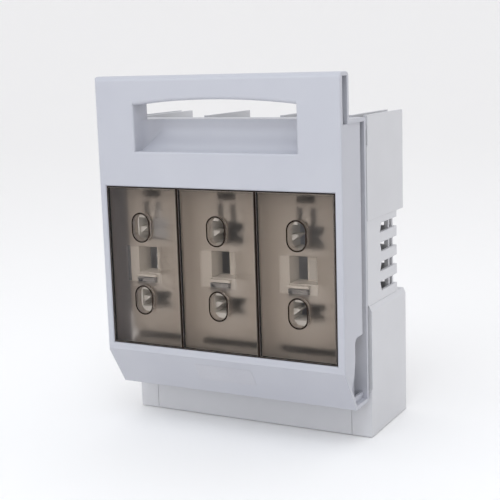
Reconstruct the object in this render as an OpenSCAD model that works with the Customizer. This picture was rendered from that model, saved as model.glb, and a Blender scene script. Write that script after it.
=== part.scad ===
// Three-pole fuse switch disconnector, upright, for size 2 knife-blade fuse-links.
// Depths in the source run back from the cover's front face, heights run up from the
// base's underside, and the last step centres the whole on its depth.

/* [Poles] */
// Distance between poles
pitch = 68; // [66:0.5:72]
// Width beyond the outer poles at each side
side_room = 3; // [2.5:0.5:5]
// How far the middle of the fuse-links lies above the middle of the windows
mid_lift = 2.5; // [0:0.5:4]

/* [Fuse-links] */
// Width, depth and height of a fuse-link's body
link_w = 61; // [58:0.5:61]
link_d = 60; // [56:0.5:60]
link_h = 72; // [68:0.5:72]
// Thickness of a fuse-link's knife blade
blade_t = 6; // [6:0.5:6]
// Distance of a blade's middle from the fuse-link's middle
jaw_offset = 57; // [56:0.5:58]

/* [Cover] */
// Height of the cover's lower edge, which leaves the base's foot in view
cover_bottom = 30; // [29:0.5:31]
// Depth of the cover, front face to rear rim
cover_d = 46; // [46:0.5:48]
// Height at which the flat front turns into the sloping skirt
front_low = 63.5; // [61:0.5:65]
// How far back the skirt slopes
skirt_run = 21; // [18:0.5:22]
// Wall of the cover
shell = 3; // [2.6:0.1:3.2]
// Depth of the hollow grip bar
grip_d = 14.5; // [13.5:0.5:16]
// Rounding of the grip bar's top edges
top_r = 4; // [2:0.5:5]
// Rounding of the front face's upright edges
side_r = 1.4; // [0.6:0.2:2]
// How far the end panels lie in from the rim, and how far their foot does
panel_inset = 0.9; // [0.4:0.1:1.2]
foot_inset = 4; // [2:0.2:5]
// Height over the skirt's upper edge at which the end panels fold inwards
fold_rise = 4.5; // [2:0.5:8]
// Thickness of the end panels
panel_t = 2.2; // [1.8:0.1:2.6]
// Depth of the end panel, up to the groove before the rear rim
panel_back = 37; // [35:0.5:39]
// Front edge of the pocket low in the end panel
pocket_y = 22; // [20:0.5:24]
// Lower edge and height of that pocket
pocket_low = 38; // [37:0.5:41]
pocket_h = 47.5; // [40:0.5:52]
// Width of the flange that turns in along the cover's rear ends
flange_w = 14; // [12:0.5:15]

/* [Handle] */
// Width of the finger recess
recess_w = 140; // [110:1:146]
// Distance from the windows up to the recess
brow_h = 28; // [24:0.5:32]
// Height from the recess's lower lip to the crown of the arched grip
recess_h = 39.5; // [36:0.5:42]
// Height of the grip bar above that crown
grip_h = 18.5; // [16:0.5:22]
// Height of the ledge behind the grip, over the recess's lower lip
ledge_rise = 23.5; // [22:0.5:25]
// How much lower the arch is at its ends
arch_drop = 4; // [2:0.5:6]
// Radius of the hollow scoop below the grip
scoop_r = 18; // [16:0.5:18.5]
// Depth of the scoop's centre line
scoop_y = 5; // [4:0.5:6]
// Rounding of the scoop's rear corners, seen from above
scoop_corner_r = 13; // [6:0.5:16]
// Depth of the cheeks at the ends of the finger gap
cheek_d = 20; // [17:0.5:22]
// Rounding of the grip's lower front edge and of the recess's lip
grip_edge_r = 2.6; // [1:0.2:2.8]
lip_r = 1.6; // [0.8:0.2:2]

/* [Windows] */
// Width of the cover's frame beside the field of panes
frame_w = 5.8; // [5:0.2:7]
// Height of the frame below the field, above the skirt
sill_h = 5.5; // [4:0.5:7]
// Height of the field that the three panes fill
field_h = 128.5; // [124:0.5:134]
// Bevel round the field's edge
field_bevel = 0.8; // [0.4:0.1:1.2]
// How far the panes lie in from the front face
pane_inset = 0.6; // [0.3:0.1:1]
// Gap round each pane
pane_gap = 0.35; // [0.2:0.05:0.6]
// Thickness of the panes, and of the flange behind their edges
pane_t = 2.6; // [2.5:0.1:3]
pane_flange_t = 1.6; // [1.2:0.1:2.2]
// How far that flange reaches past the field
pane_flange_w = 2.5; // [1.5:0.5:3]
// Width and height of a test port
port_w = 16.8; // [14:0.2:18]
port_h = 24; // [20:0.5:26]
// Distance between a pole's two test ports
port_pitch = 58.5; // [57:0.5:60]
// Wall and depth of the collar round a port
collar_t = 1.2; // [0.8:0.1:1.6]
collar_d = 7; // [5:0.5:9]

/* [Fuse carrier] */
// Depth of the carrier plate's front
plate_y = 20; // [19:0.5:21]
// Thickness of the carrier plate
plate_t = 3; // [2.5:0.1:3.5]
// Gap between the carrier and the cover's sides
plate_gap = 13; // [12:0.5:14]
// How far the plate reaches past the field of panes, down and up
plate_down = 15; // [14:0.5:16]
plate_up = 15.5; // [14:0.5:17]
// Height of the plate's step over the fuse-links' middle, and how far it stands out
plate_step_rise = 43; // [40:0.5:45]
plate_step = 0.8; // [0.4:0.1:1.2]
// Width and height of the raised pad round each pole's openings, and how far it stands out
pad_w = 34; // [33:0.5:40]
pad_h = 86; // [80:1:88]
pad_rise = 0.5; // [0.3:0.1:0.8]
// Wall of the plate's skirt
skirt_t = 2.4; // [1.8:0.1:3]
// Width and height of the opening for a fuse-link's upper grip lug
lug_w = 28.5; // [24:0.5:30]
lug_h = 18; // [15:0.5:19]
// Height of the opening for the lower grip lug
low_lug_h = 14; // [12:0.5:16]
// How far the middles of these openings lie below the test ports
lug_drop = 4; // [3:0.5:5]
low_lug_drop = 3; // [2:0.5:4]
// Wall of the sleeves behind the openings, and how far they reach behind the plate
sleeve_t = 2; // [1.5:0.1:2.5]
sleeve_d = 14; // [12:0.5:15]
// Width and length of the snap tongue over the upper opening
tongue_w = 6; // [5:0.5:7]
tongue_l = 14; // [11:0.5:15]
// Width of the slots beside the tongue
tongue_slot = 5; // [3:0.5:5.5]
// How far a claw reaches over an opening
claw_reach = 5.5; // [4:0.5:6]
// Width, height and depth of the middle recess
mid_w = 31; // [27:0.5:33]
mid_h = 21.5; // [18:0.5:22]
mid_d = 12; // [9:0.5:14]
// Width of the way through at that recess's left
mid_slit = 9.5; // [6:0.5:12]
// Length and height of the long slot at the plate's foot
foot_slot_l = 50; // [40:1:54]
foot_slot_h = 6; // [4:0.5:8]
// Length and height of the short slot at its head, and the web between it and the tongue
head_slot_l = 16; // [12:1:20]
head_slot_h = 6; // [4:0.5:7]
head_slot_rise = 3; // [2:0.5:4]

/* [Base] */
// How far the lower block stands out at each side
low_proud = 1.8; // [1:0.1:2.5]
// Gap between the cover's rim and the base
cover_gap = 1.5; // [1.3:0.1:1.8]
// Depth of the base
base_d = 77.5; // [76:0.5:82]
// How far the base's top stands over the cover's ledge
base_rise = 1; // [0.5:0.5:2]
// Distance from the fuse-links' middle down to the waist's lower edge
waist_drop = 31.75; // [30:0.25:33]
// Height of the waist
waist_h = 66.5; // [64:0.5:68]
// How far the waist is set in at the back, and at the sides
waist_inset = 14; // [13:0.5:15]
waist_side = 0.4; // [0.2:0.1:0.8]
// Wall of the base
base_t = 3; // [2.5:0.1:3.2]
// How far the back wall stays below the base's top
cable_gap = 12; // [8:0.5:16]
// How far stretches of the front edge lie back from the rest
edge_step = 2; // [1:0.5:2.5]
// How far below the base's top the front edge steps forward again
edge_drop = 24; // [20:1:28]
// Vent slots: count, height, pitch, depth and slant of their front ends
vents = 4; // [3:1:4]
vent_h = 7.4; // [6:0.2:8]
vent_pitch = 15.5; // [15:0.1:15.6]
vent_d = 37; // [32:0.5:38]
vent_slant = 3; // [0:0.5:4]
// Height of the lowest slot over the waist's lower edge
vent_rise = 7.3; // [7:0.1:8]
// Width of the front pillars that carry the hinge
pillar_w = 15; // [14:0.5:16]
// Height of the terminal covers
upper_apron_h = 38; // [34:0.5:39]
lower_apron_h = 60; // [56:0.5:61]

/* [Contacts] */
// Thickness of the contact fingers
finger_t = 2.6; // [2:0.1:3]
// Flare of the fingers' tips
flare = 3.6; // [3:0.2:4]
// Length of the contact jaws, along the fuse-link
jaw_l = 26; // [24:0.5:28]
// How far the fingers' tips and the copper strip's front lie behind the base's front
jaw_tip_in = 5.5; // [4.5:0.5:8]
strip_in = 42.5; // [41.5:0.5:44.5]
// Width and thickness of the copper strip
strip_w = 30; // [28:0.5:30]
strip_t = 5; // [4:0.5:5.5]
// Distance of a terminal bolt from the jaw's middle, and of the strip's end from the bolt
bolt_reach = 34; // [32:0.5:35]
strip_tail = 12; // [11:0.5:13]
// Thread of the terminal bolts, the size across the flats and the head's height
bolt_d = 10; // [8:2:10]
bolt_af = 16; // [15:1:17]
bolt_head_h = 6.4; // [5.5:0.1:7]
// Height of the nuts and thickness of the washers
nut_h = 8; // [7:0.5:9]
washer_t = 2; // [1.5:0.1:2.5]
// Screws of the contact strips: diameter, head, distance across and along
strip_screw_d = 4; // [3.5:0.5:4.5]
strip_screw_head = 7; // [6:0.5:7.5]
strip_screw_x = 10.5; // [10:0.5:10.5]
strip_screw_z = 8; // [7:0.5:8.5]
// Width of the blocks that carry the contacts, and beside the jaws
support_w = 34; // [32:0.5:36]
support_wide = 50; // [48:0.5:52]
// Distance of the arc chambers' cheeks from the jaw's middle, and their thickness
cheek_x = 16; // [15.5:0.5:17]
cheek_t = 5; // [4:0.5:6]
// How far the arc chambers reach below and over the jaw's middle
chamber_under = 15; // [14:0.5:16]
chamber_over = 17; // [16:0.5:18]

/* [Hinge] */
// Depth of the hinge axis, before the cover's rear rim
hinge_back = 6; // [6:0.1:6.2]
// Height of the hinge axis over the cover's lower edge
hinge_rise = 5.6; // [5.6:0.1:5.8]
// Diameter of the hinge pins
pin_d = 5; // [4:0.5:5]
// Running clearance round a pin
pin_play = 0.05; // [0.02:0.01:0.1]

/* [Fixing] */
// Mounting holes in the back: diameter, distance across and distance up
mount_d = 7; // [5.5:0.5:7.5]
mount_x = 88; // [87:0.5:90]
mount_z = 200; // [196:1:204]
// Screws that hold the carrier: diameter, and of their posts
screw_d = 3; // [2.5:0.5:3.5]
post_d = 8; // [7:0.5:9]

/* [Hidden] */
$fn = 48;
eps = 0.01;
poles = 3;

// Widths follow the poles
base_w = poles * pitch + 2 * side_room;
cover_w = base_w;
field_w = cover_w - 2 * frame_w;
plate_w = cover_w - 2 * plate_gap;
// Heights follow from the cover's lower edge up
field_low = front_low + sill_h;
field_top = field_low + field_h;
recess_low = field_top + brow_h;
ledge_z = recess_low + ledge_rise;
arch_top = recess_low + recess_h;
cover_top = arch_top + grip_h;
base_top = ledge_z + base_rise;
plate_low = field_low - plate_down;
plate_top = field_top + plate_up;
fuse_mid = field_low + field_h / 2 + mid_lift;
waist_low = fuse_mid - waist_drop;
waist_top = waist_low + waist_h;
pocket_top = pocket_low + pocket_h;
hinge_z = cover_bottom + hinge_rise;
// Depths follow from the cover's front back
hinge_y = cover_d - hinge_back;
base_y = cover_d + cover_gap;
total_d = base_y + base_d;
jaw_tip_y = base_y + jaw_tip_in;
strip_y = base_y + strip_in;
back_y = total_d;
waist_back = back_y - waist_inset;
platform_y = strip_y + strip_t;
sleeve_back = plate_y + plate_t + sleeve_d;
plate_step_z = fuse_mid + plate_step_rise;
port_z = [fuse_mid + port_pitch / 2, fuse_mid - port_pitch / 2];
lug_z = [port_z[0] - lug_drop, port_z[1] - low_lug_drop];
skirt_angle = atan(skirt_run / (front_low - cover_bottom));
rim_r = 3;
ledge_r = 1.4;
arch_r = (pow(recess_w / 2, 2) + pow(arch_drop, 2)) / (2 * arch_drop);
scoop_z = recess_low + sqrt(pow(scoop_r, 2) - pow(scoop_y, 2));
scoop_back = scoop_y + scoop_r;
seat_fit = 0.3;
screw_fit = 0.1;
post_in = 8;
post_edge = 6;
screw_x = [post_in - plate_w / 2, 0, plate_w / 2 - post_in];
screw_z = [plate_low + post_edge, plate_top - post_edge];
screw_head_d = 6;
screw_head_h = 2.2;
screw_tip_y = 10;
low_half = base_w / 2 + low_proud;
inner_wall_x = base_w / 2 - pillar_w;
lug_gap = 0.7;
lug_r = 5;
hook_t = 4.5;
hook_r = 9;
support_h = 8;
chamber_low = jaw_offset - chamber_under;
chamber_top = jaw_offset + chamber_over;
support_low = chamber_low - 1;
bolt_at = jaw_offset + bolt_reach;
strip_end = bolt_at + strip_tail;
chamber_t = 2.5;
support_shoulder = chamber_top + 0.5;
plate_rows = [-9, -3, 3, 9];
plate_sink = 3;
plate_wide = 4.5;
plate_thick = 1.5;
plate_play = 0.05;
vent_low = waist_low + vent_rise;
vent_end = 29;
rib_t = 2.5;
rib_in = 3;
rib_y = [13.5, 5.5];
mount_mid = base_top / 2;
apron_drop = 6;
link_play = 4;
wall_up = fuse_mid + chamber_top + 0.75;
wall_down = fuse_mid - chamber_top - 0.75;

cover_grey = [0.78, 0.79, 0.83];
base_grey = [0.82, 0.83, 0.84];
smoke = [0.36, 0.30, 0.24, 0.75];
carrier_grey = [0.80, 0.78, 0.74];
arc_brown = [0.25, 0.16, 0.11];
silver = [0.78, 0.74, 0.68];
steel = [0.62, 0.63, 0.65];

function pole_x(i) = (i - (poles - 1) / 2) * pitch;

// Turns a side view, drawn depth by height, into a bar of width w across the part
module along_x(w) {
    rotate([90, 0, 90]) linear_extrude(w, center = true) children();
}

// Turns a front view, drawn width by height, into a slab from depth y0 to y1
module along_y(y0, y1) {
    translate([0, y1, 0]) rotate([90, 0, 0]) linear_extrude(y1 - y0) children();
}

module block(x0, x1, y0, y1, z0, z1) {
    translate([x0, y0, z0]) cube([x1 - x0, y1 - y0, z1 - z0]);
}

module rod_x(x0, x1, y, z, d) {
    translate([x0, y, z]) rotate([0, 90, 0]) cylinder(h = x1 - x0, d = d);
}

module rod_y(x, z, y0, y1, d) {
    translate([x, y0, z]) rotate([-90, 0, 0]) cylinder(h = y1 - y0, d = d);
}

// What a rounded corner takes away, with the corner's circle centred on the origin
module corner_waste(r) {
    difference() {
        square(r + eps);
        circle(r);
    }
}

module both_sides() {
    children();
    mirror([1, 0, 0]) children();
}

module placed() {
    translate([0, -total_d / 2, 0]) children();
}

module rounded_slot(w, h) {
    r = w / 2;
    square([w, h - w], center = true);
    for (s = [-1, 1]) translate([0, s * (h / 2 - r)]) circle(r);
}

// Cover

module cover_outline() {
    difference() {
        polygon([
            [0, front_low], [0, cover_top], [grip_d, cover_top], [grip_d, ledge_z],
            [cover_d, ledge_z], [cover_d, cover_bottom], [skirt_run, cover_bottom]
        ]);
        translate([grip_d - top_r, cover_top - top_r]) corner_waste(top_r);
        translate([top_r, cover_top - top_r]) mirror([1, 0]) corner_waste(top_r);
        translate([cover_d - ledge_r, ledge_z - ledge_r]) corner_waste(ledge_r);
        translate([cover_d - rim_r, cover_bottom + rim_r]) mirror([0, 1]) corner_waste(rim_r);
    }
}

module cover_inside() {
    polygon([
        [shell, front_low + shell * tan(skirt_angle / 2)],
        [shell, cover_top - shell],
        [grip_d - shell, cover_top - shell],
        [grip_d - shell, ledge_z - shell],
        [cover_d - shell, ledge_z - shell],
        [cover_d - shell, cover_bottom + shell],
        [skirt_run + shell * (1 - sin(skirt_angle)) / cos(skirt_angle), cover_bottom + shell]
    ]);
}

// The whole cover's width, with the front's upright edges and the upper corners rounded
module cover_bounds() {
    half = cover_w / 2;
    intersection() {
        linear_extrude(cover_top) difference() {
            translate([-half, 0]) square([cover_w, cover_d]);
            translate([half - side_r, side_r]) mirror([0, 1]) corner_waste(side_r);
            translate([side_r - half, side_r]) rotate(180) corner_waste(side_r);
        }
        along_y(0, cover_d) difference() {
            translate([-half, 0]) square([cover_w, cover_top]);
            translate([half - side_r, cover_top - side_r]) corner_waste(side_r);
            translate([side_r - half, cover_top - side_r]) mirror([1, 0]) corner_waste(side_r);
        }
    }
}

module pocket_outline() {
    r = 5;
    back = cover_d - shell + 1;
    difference() {
        translate([pocket_y, pocket_low]) square([back - pocket_y, pocket_h]);
        translate([pocket_y + r, pocket_top - r]) mirror([1, 0]) corner_waste(r);
        translate([pocket_y + r, pocket_low + r]) rotate(180) corner_waste(r);
    }
}

// End panel, let into the hollow cover, short of the groove along the rear rim. Below the
// fold it leans inwards, so the skirt's and the bottom's edges stand proud as a rim
module end_panel(side) {
    half = cover_w / 2;
    x0 = half - panel_inset;
    x1 = half - foot_inset;
    fold_z = front_low + fold_rise;
    color(cover_grey) placed() mirror([side < 0 ? 1 : 0, 0, 0]) intersection() {
        along_y(0, cover_d) polygon([
            [x0 - panel_t, ledge_z], [x0, ledge_z], [x0, fold_z], [x1, cover_bottom],
            [x1 - panel_t, cover_bottom], [x0 - panel_t, fold_z]
        ]);
        translate([half - foot_inset, 0, 0]) along_x(2 * (foot_inset + panel_t)) difference() {
            intersection() {
                cover_inside();
                union() {
                    square([panel_back, ledge_z - shell]);
                    square([cover_d, pocket_low + shell]);
                }
            }
            pocket_outline();
        }
    }
}

module recess_pod() {
    half = recess_w / 2 + shell;
    block(-half, half, 1, scoop_back + shell, recess_low - shell, ledge_z);
    both_sides() block(recess_w / 2, half, 1, cheek_d, recess_low, arch_top + shell);
}

module grip_underside() {
    half = recess_w / 2 + shell;
    intersection() {
        block(-half, half, 1, grip_d - 1, arch_top - arch_drop, cover_top - 1);
        difference() {
            rod_y(0, arch_top - arch_r, 0, grip_d, 2 * (arch_r + shell), $fn = 720);
            rod_y(0, arch_top - arch_r, -1, grip_d + 1, 2 * arch_r, $fn = 720);
        }
    }
}

// The finger gap above the scoop runs right through, under the arched grip
module finger_gap() {
    intersection() {
        block(-recess_w / 2, recess_w / 2, -1, cover_d + 1, ledge_z - eps, cover_top);
        rod_y(0, arch_top - arch_r, -1, cover_d + 1, 2 * arch_r, $fn = 720);
    }
}

module scoop() {
    half = recess_w / 2;
    r = scoop_corner_r;
    intersection() {
        along_x(recess_w) union() {
            translate([scoop_y, scoop_z]) circle(scoop_r, $fn = 96);
            translate([-1, scoop_z]) square([scoop_back + 1, ledge_z - scoop_z + eps]);
        }
        translate([0, 0, recess_low - scoop_r]) linear_extrude(3 * scoop_r) difference() {
            translate([-half, -1]) square([recess_w, scoop_back + 1]);
            translate([half - r, scoop_back - r]) corner_waste(r);
            translate([r - half, scoop_back - r]) mirror([1, 0]) corner_waste(r);
        }
    }
}

// Rounds the grip's lower front edge along the arch
module grip_edge_waste() {
    r = grip_edge_r;
    half_angle = asin(recess_w / 2 / arch_r);
    translate([0, 0, arch_top - arch_r]) rotate([90, half_angle - 90, 0])
        rotate_extrude(angle = 2 * half_angle, $fn = 720)
            translate([arch_r + r, -r]) mirror([1, 0]) corner_waste(r);
}

// Rounds the recess's lower lip and its upright edges
module lip_waste() {
    r = lip_r;
    half = recess_w / 2;
    along_x(recess_w) translate([r, recess_low - r]) mirror([1, 0]) corner_waste(r);
    both_sides() translate([half + r, r, recess_low]) linear_extrude(arch_top - arch_drop - recess_low)
        rotate(180) corner_waste(r);
}

// Bevels the front edge round the windows
module field_bevel_waste() {
    half = field_w / 2;
    b = field_bevel;
    for (z = [field_low, field_top]) along_x(field_w) polygon([[-eps, z - b], [b, z], [-eps, z + b]]);
    both_sides() translate([0, 0, field_low - b]) linear_extrude(field_h + 2 * b)
        polygon([[half - b, -eps], [half, b], [half + b, -eps]]);
}

// Open hook beside each hinge lug, which turns on the hinge pin
module hinge_hook() {
    x1 = inner_wall_x - lug_gap;
    block(x1 - hook_t, x1, hinge_y - hook_r, cover_d - 1, cover_bottom + 1, hinge_z + hook_r);
}

module hinge_hook_bore() {
    x1 = inner_wall_x - lug_gap;
    r = pin_d / 2 + pin_play;
    rod_x(x1 - hook_t - 1, x1 + 1, hinge_y, hinge_z, 2 * r);
    block(x1 - hook_t - 1, x1 + 1, hinge_y - hook_r - 1, hinge_y, hinge_z - r, hinge_z + r);
}

module lug_notch() {
    x0 = inner_wall_x - lug_gap;
    x1 = inner_wall_x + base_t + lug_gap;
    block(x0, x1, hinge_y - lug_r - 1.5, cover_d + 1, cover_bottom - 1, hinge_z + lug_r + 5);
}

// The rear is open between the flanges, and wider beside the fuse-links
module rear_opening() {
    inner = cover_w / 2 - flange_w;
    wide = pole_x(poles - 1) + link_w / 2 + seat_fit;
    reach = link_h / 2 + link_play;
    y0 = cover_d - shell - 1;
    block(-inner, inner, y0, cover_d + 1, hinge_z + hook_r, ledge_z - flange_w);
    block(-wide, wide, y0, cover_d + 1, fuse_mid - reach, fuse_mid + reach);
}

module front_cover() {
    color(cover_grey) placed() difference() {
        union() {
            intersection() {
                along_x(cover_w) difference() {
                    cover_outline();
                    cover_inside();
                }
                cover_bounds();
            }
            recess_pod();
            grip_underside();
            both_sides() hinge_hook();
            for (x = screw_x) rod_y(x, screw_z[1], 1, plate_y - plate_step, post_d);
            intersection() {
                along_x(cover_w) cover_outline();
                for (x = screw_x) rod_y(x, screw_z[0], 1, plate_y, post_d);
            }
        }
        along_y(-1, shell + 1) translate([-field_w / 2, field_low]) square([field_w, field_h]);
        field_bevel_waste();
        rear_opening();
        scoop();
        finger_gap();
        grip_edge_waste();
        lip_waste();
        both_sides() hinge_hook_bore();
        both_sides() lug_notch();
        for (x = screw_x, z = screw_z) rod_y(x, z, screw_tip_y - 1, plate_y + 1, screw_d + screw_fit);
    }
}

// Windows

module pane_span(i, grow) {
    x0 = i == 0 ? -field_w / 2 + pane_gap - grow : pole_x(i) - pitch / 2 + pane_gap;
    x1 = i == poles - 1 ? field_w / 2 - pane_gap + grow : pole_x(i) + pitch / 2 - pane_gap;
    z0 = field_low + pane_gap - grow;
    z1 = field_top - pane_gap + grow;
    translate([x0, z0]) square([x1 - x0, z1 - z0]);
}

module inner_span(i) {
    in = pane_flange_w;
    x0 = i == 0 ? -field_w / 2 + in : pole_x(i) - pitch / 2 + in;
    x1 = i == poles - 1 ? field_w / 2 - in : pole_x(i) + pitch / 2 - in;
    translate([x0, field_low + in]) square([x1 - x0, field_h - 2 * in]);
}

// The pane is thin over its whole field, and a deeper frame runs along its edges
module window(i) {
    back = shell + pane_flange_t;
    grow = pane_flange_w + pane_gap;
    color(smoke) placed() difference() {
        union() {
            along_y(pane_inset, pane_inset + pane_t) pane_span(i, 0);
            along_y(shell, back) difference() {
                pane_span(i, grow);
                inner_span(i);
            }
            along_y(pane_inset, back) difference() {
                pane_span(i, 0);
                inner_span(i);
            }
            for (z = port_z) along_y(0, collar_d)
                translate([pole_x(i), z]) rounded_slot(port_w, port_h);
        }
        for (z = port_z) along_y(-1, collar_d + 1)
            translate([pole_x(i), z]) rounded_slot(port_w - 2 * collar_t, port_h - 2 * collar_t);
    }
}

// Fuse carrier: one moulded plate behind the windows, with openings and sleeves that take
// the grip lugs of the fuse-links

module sleeve(x, z, w, h) {
    block(
        x - w / 2 - sleeve_t, x + w / 2 + sleeve_t, plate_y + 1, sleeve_back,
        z - h / 2 - sleeve_t, z + h / 2 + sleeve_t
    );
}

module opening(x, z, w, h) {
    block(x - w / 2, x + w / 2, plate_y - 2, sleeve_back + 1, z - h / 2, z + h / 2);
}

// Claw on a sleeve's wall, behind which a grip lug catches
module claw(x, z, w, side) {
    rise = 4;
    nose = 1.2;
    wall_x = x + side * w / 2;
    along_y(plate_y + 2, sleeve_back - 3) polygon([
        [wall_x + side, z - rise], [wall_x, z - rise], [wall_x - side * claw_reach, z],
        [wall_x - side * claw_reach, z + nose], [wall_x + side, z + nose]
    ]);
}

module pole_openings(i) {
    x = pole_x(i);
    left = x - mid_w / 2;
    top = lug_z[0] + lug_h / 2;
    slot_x = tongue_w / 2 + tongue_slot;
    head_low = top + tongue_l + head_slot_rise;
    plate_back = plate_y + plate_t;
    low = fuse_mid - mid_h / 2;
    opening(x, lug_z[0], lug_w, lug_h);
    opening(x, lug_z[1], lug_w, low_lug_h);
    // Slots beside the tongue, and the sleeve's top cleared round it
    for (s = [0, 1]) translate([x, 0, 0]) mirror([s, 0, 0])
        block(tongue_w / 2, slot_x, plate_y - 2, plate_back + 1, top - eps, top + tongue_l);
    block(x - slot_x, x + slot_x, plate_back, sleeve_back + 1, top - eps, top + sleeve_t + 1);
    // Middle recess, with a way through at its left
    block(left, left + mid_w, plate_y - 2, plate_y + mid_d, low, low + mid_h);
    block(left, left + mid_slit, plate_y, sleeve_back + 1, low, low + mid_h);
    // Long slot at the foot and a short one at the head
    block(
        x - foot_slot_l / 2, x + foot_slot_l / 2, plate_y - 2, plate_back + 1,
        field_low + 1, field_low + 1 + foot_slot_h
    );
    block(x - head_slot_l / 2, x + head_slot_l / 2, plate_y - 2, plate_back + 1, head_low, head_low + head_slot_h);
}

module pole_details(i) {
    x = pole_x(i);
    top = lug_z[0] + lug_h / 2;
    plate_back = plate_y + plate_t;
    low = fuse_mid - mid_h / 2;
    for (z = lug_z, s = [-1, 1]) claw(x, z, lug_w, s);
    // Nose on the tongue's free end
    translate([x, 0, 0]) along_x(tongue_w) polygon([
        [plate_back - 1, top], [plate_back + 2.5, top], [plate_back, top + 5], [plate_back - 1, top + 5]
    ]);
    // Ledge under the middle recess
    block(x - mid_w / 2 - 0.5, x + 2, plate_y - 4, plate_y + 1, low - 3, low - 0.8);
}

module pad(i) {
    r = 4;
    translate([pole_x(i), fuse_mid]) difference() {
        square([pad_w, pad_h], center = true);
        for (a = [0, 1], b = [0, 1]) mirror([a, 0]) mirror([0, b])
            translate([pad_w / 2 - r, pad_h / 2 - r]) corner_waste(r);
    }
}

module fuse_carrier() {
    half = plate_w / 2;
    rib_w = 2.4;
    color(carrier_grey) placed() union() {
        difference() {
            union() {
                block(-half, half, plate_y, plate_y + plate_t, plate_low, plate_top);
                block(-half, half, plate_y - plate_step, plate_y + 1, plate_step_z, plate_top);
                difference() {
                    block(-half, half, plate_y, sleeve_back + 1, plate_low, plate_top);
                    block(
                        -half + skirt_t, half - skirt_t, plate_y + 1, sleeve_back + 2,
                        plate_low + skirt_t, plate_top - skirt_t
                    );
                }
                for (i = [0 : poles - 1]) {
                    along_y(plate_y - pad_rise, plate_y + 1) pad(i);
                    sleeve(pole_x(i), lug_z[0], lug_w, lug_h);
                    sleeve(pole_x(i), lug_z[1], lug_w, low_lug_h);
                    sleeve(pole_x(i), fuse_mid, mid_w, mid_h);
                }
            }
            for (i = [0 : poles - 1]) pole_openings(i);
            for (x = screw_x, z = screw_z)
                rod_y(x, z, plate_y - 2, plate_y + plate_t + 1, screw_d + screw_fit);
        }
        for (i = [0 : poles - 1]) pole_details(i);
        // Ribs that back the joints between the panes
        for (i = [1 : poles - 1]) translate([pole_x(i) - pitch / 2, 0, 0])
            block(
                -rib_w / 2, rib_w / 2, shell + pane_flange_t, plate_y + 1,
                field_low - 1, field_top + 1
            );
    }
}

// Sprung steel clip under the ledge, which holds the lower grip lug
module lug_clip(i) {
    x = pole_x(i) - 7;
    z = fuse_mid - mid_h / 2 - 6.5;
    t = 0.8;
    half_w = 8;
    half_h = 3;
    seat = plate_y - pad_rise;
    color(steel) placed() difference() {
        block(x - half_w, x + half_w, seat - 4, seat, z - half_h, z + half_h);
        block(
            x - half_w + t, x + half_w - t, seat - 5, seat - t,
            z - half_h + t, z + half_h - t
        );
        block(x - 3, x + 4, seat - 5, seat - 3 * t, z - half_h - 1, z + 1);
    }
}

module carrier_screws() {
    seat = plate_y + plate_t;
    color(steel) placed() for (x = screw_x, z = screw_z) union() {
        rod_y(x, z, seat, seat + screw_head_h, screw_head_d);
        rod_y(x, z, screw_tip_y, seat + 1, screw_d);
    }
}

// Base

// One outer wall from the side, with its stepped front edge and its waist
module wall_outline() {
    y1 = base_y + edge_step;
    polygon([
        [base_y, 0], [base_y, cover_bottom + 7], [y1, cover_bottom + 9],
        [y1, waist_low], [base_y, waist_low + 2], [base_y, base_top - edge_drop],
        [y1, base_top - edge_drop + 2], [y1, base_top], [back_y, base_top],
        [back_y, waist_top], [waist_back, waist_top], [waist_back, waist_low], [back_y, waist_low],
        [back_y, 0]
    ]);
}

module outer_wall() {
    t = base_t;
    translate([base_w / 2 - t / 2, 0, 0]) along_x(t) wall_outline();
    // Lower block, proud of the rest, with a sloping shoulder
    intersection() {
        translate([low_half - t, 0, 0]) along_x(2 * t) wall_outline();
        along_y(base_y, back_y) polygon([
            [low_half - t, 0], [low_half, 0], [low_half, waist_low - 4],
            [base_w / 2 - eps, waist_low - eps], [low_half - t, waist_low - eps]
        ]);
    }
}

// The waist's sides lie a little in from the upper block
module waist_waste() {
    block(
        base_w / 2 - waist_side, base_w / 2 + 1, base_y - 1, back_y + 1,
        waist_low + eps, waist_top
    );
}

// Front pillar: it closes the channel beside the outer pole and carries the hinge lug
module pillar() {
    x0 = inner_wall_x;
    t = base_t;
    front_t = edge_step + t;
    intersection() {
        translate([x0 + pillar_w / 2, 0, 0]) along_x(pillar_w + 2 * low_proud) wall_outline();
        union() {
            block(x0, low_half - 1, base_y, base_y + front_t, 0, waist_low - 5);
            block(x0, base_w / 2 - 1, base_y, base_y + front_t, 0, base_top - apron_drop);
        }
    }
    // Inner wall beside the terminals
    for (z = [[0, wall_down], [wall_up, base_top]])
        block(x0, x0 + t, base_y + edge_step, back_y - 1, z[0], z[1]);
    // Hinge lug
    translate([x0 + t / 2, 0, 0]) along_x(t) union() {
        translate([hinge_y, hinge_z]) circle(lug_r);
        translate([hinge_y, hinge_z - lug_r]) square([base_y + t - hinge_y, 2 * lug_r]);
    }
}

module partition(x) {
    t = base_t;
    for (z = [[0, base_top, waist_back], [0, waist_low, back_y], [waist_top, base_top, back_y]])
        block(x - t / 2, x + t / 2, base_y + t, z[2] - 1, z[0], z[1]);
}

module back_walls() {
    t = base_t;
    half = base_w / 2 - 1;
    block(-half, half, back_y - t, back_y, 0, waist_low);
    block(-half, half, waist_back - t, waist_back, waist_low - t, waist_top + t);
    block(-half, half, back_y - t, back_y, waist_top, base_top - cable_gap);
    for (z = [waist_low - t, waist_top]) block(-half, half, waist_back - t, back_y, z, z + t);
}

// Places a pole's upper contact parts, and mirrored, its lower ones
module upper() {
    translate([0, 0, fuse_mid]) children();
}

module lower() {
    translate([0, 0, fuse_mid]) mirror([0, 0, 1]) children();
}

// Both ends of every pole
module all_terminals() {
    for (i = [0 : poles - 1]) {
        $pole = i;
        upper() children();
        lower() children();
    }
}

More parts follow.
